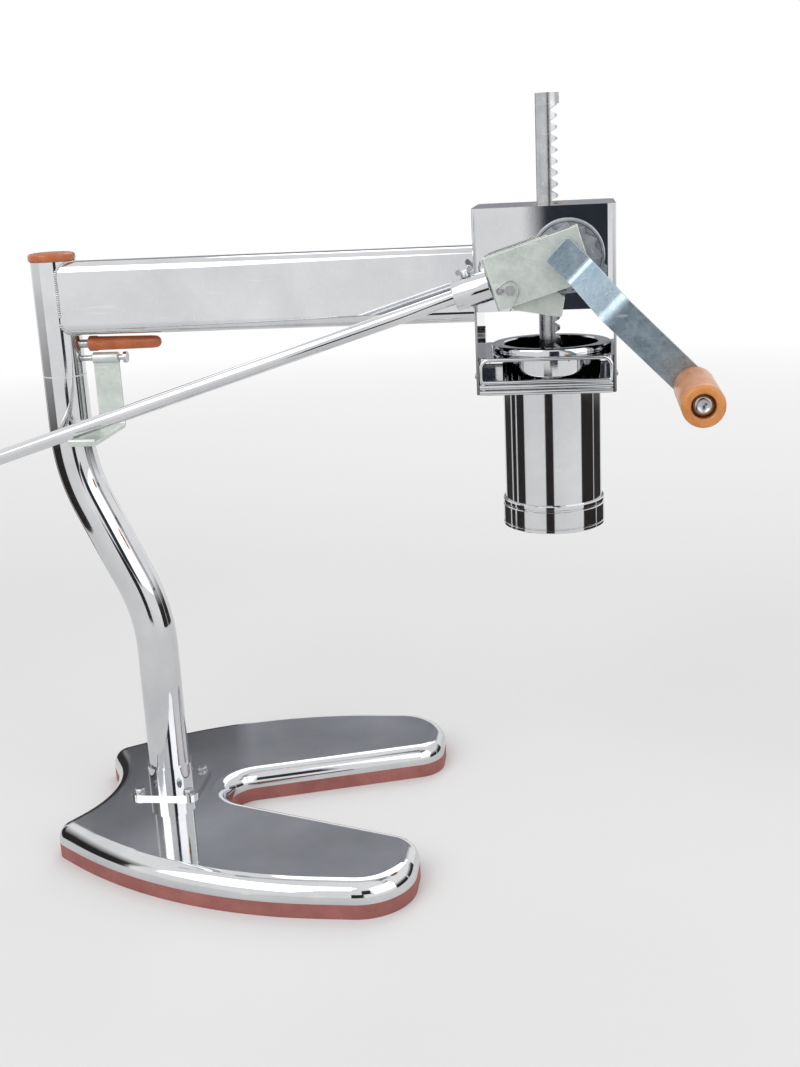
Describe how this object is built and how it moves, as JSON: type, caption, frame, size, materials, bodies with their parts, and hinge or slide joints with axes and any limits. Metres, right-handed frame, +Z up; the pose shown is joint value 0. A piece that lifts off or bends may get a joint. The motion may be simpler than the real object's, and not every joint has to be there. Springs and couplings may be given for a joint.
{
  "type": "pasta extruder with crank",
  "caption": "Hand-cranked pasta extruder: barrel press with rack, ratchet lever and crank on an arm that swivels on a weighted stand.",
  "frame": {"origin": "on the floor, under the axis of the post's foot", "axes": "+X from the post to the barrel, +Y away from the crank's side, +Z up"},
  "size_m": [0.5197, 0.328, 0.53],
  "materials": {
    "mirror_chrome": "mirror polish",
    "bright_steel": "bright",
    "pad_terracotta": "matte",
    "pale_zinc": "satin",
    "blue_zinc": "satin",
    "orange_plastic": "gloss",
    "cast_weight": "rough",
    "bronze": "machined",
    "seal_rubber": "matte",
    "washer_nylon": "matte"
  },
  "bodies": {
    "stand": {"base_shell": "mirror_chrome", "base_pad": "pad_terracotta", "base_weight": "cast_weight", "post_flange": "mirror_chrome", "flange_bolts": "mirror_chrome", "post_tube": "mirror_chrome", "post_spigot": "bright_steel", "swivel_washer": "washer_nylon"},
    "arm": {"arm_sleeve": "mirror_chrome", "sleeve_cap": "orange_plastic", "arm_beam": "mirror_chrome", "hook_pin": "bright_steel", "head_housing": "mirror_chrome", "wall_bolt": "bright_steel", "front_bearing": "bright_steel", "rear_bearing": "bright_steel", "rack_guide": "bronze", "barrel_holder": "mirror_chrome", "barrel": "mirror_chrome"},
    "clamp": {"clamp_screw": "bright_steel", "clamp_grip": "orange_plastic"},
    "hook": {"lever_hook": "pale_zinc"},
    "shaft": {"pinion_shaft": "bright_steel", "drive_pinion": "bright_steel", "shaft_ring": "bright_steel", "crank_spacer": "bright_steel", "ratchet_wheel": "bright_steel", "crank_arm": "blue_zinc", "grip_spindle": "bright_steel"},
    "crank_handle": {"crank_grip": "orange_plastic"},
    "rack": {"rack_bar": "bright_steel", "piston": "bright_steel", "piston_seal": "seal_rubber", "piston_nut": "bright_steel"},
    "die": {"die_ring": "mirror_chrome", "die_plate": "bronze"},
    "lever": {"lever_fork": "pale_zinc", "lever_socket": "mirror_chrome", "lever_rod": "mirror_chrome", "lever_end_cap": "orange_plastic", "pawl_pin": "bright_steel", "pawl_spring": "bright_steel", "spring_peg": "bright_steel"},
    "pawl_body": {"pawl": "pale_zinc"},
    "wing": {"wing_screw": "bright_steel"}
  },
  "joints": [
    {"name": "arm_swivel", "type": "hinge", "parent": "stand", "child": "arm", "pos_m": [-0.049, 0, 0.39], "axis": [0, 0, 1], "continuous": true},
    {"name": "clamp_turn", "type": "hinge", "parent": "arm", "child": "clamp", "pos_m": [-0.028, 0, 0.3745], "axis": [1, 0, 0], "continuous": true},
    {"name": "hook_swing", "type": "hinge", "parent": "arm", "child": "hook", "pos_m": [-0.0165, 0, 0.364], "axis": [1, 0, 0], "range_deg": [0, 70]},
    {"name": "shaft_turn", "type": "hinge", "parent": "arm", "child": "shaft", "pos_m": [0.31662, 0, 0.427], "axis": [0, 1, 0], "range_deg": [-362.2, 487.6]},
    {"name": "rack_slide", "type": "slide", "parent": "arm", "child": "rack", "axis": [0, 0, 1], "range_m": [-0.052, 0.07]},
    {"name": "crank_handle_turn", "type": "hinge", "parent": "shaft", "child": "crank_handle", "pos_m": [0.39214, -0.146, 0.35148], "axis": [0, 1, 0], "continuous": true},
    {"name": "lever_swing", "type": "hinge", "parent": "arm", "child": "lever", "pos_m": [0.31662, 0, 0.427], "axis": [0, 1, 0], "range_deg": [0, 70]},
    {"name": "pawl_lift", "type": "hinge", "parent": "lever", "child": "pawl_body", "pos_m": [0.27953, -0.0534, 0.40819], "axis": [0, 1, 0], "range_deg": [0, 25]},
    {"name": "wing_turn", "type": "hinge", "parent": "lever", "child": "wing", "pos_m": [0.24987, -0.055, 0.42047], "axis": [-0.2957, 0, 0.9553], "continuous": true},
    {"name": "die_slide", "type": "slide", "parent": "arm", "child": "die", "axis": [0, 0, -1], "range_m": [0, 0.03]}
  ],
  "couplings": [
    {"joint": "rack_slide", "follows": "shaft_turn", "m_per_rad": 0.008225}
  ]
}
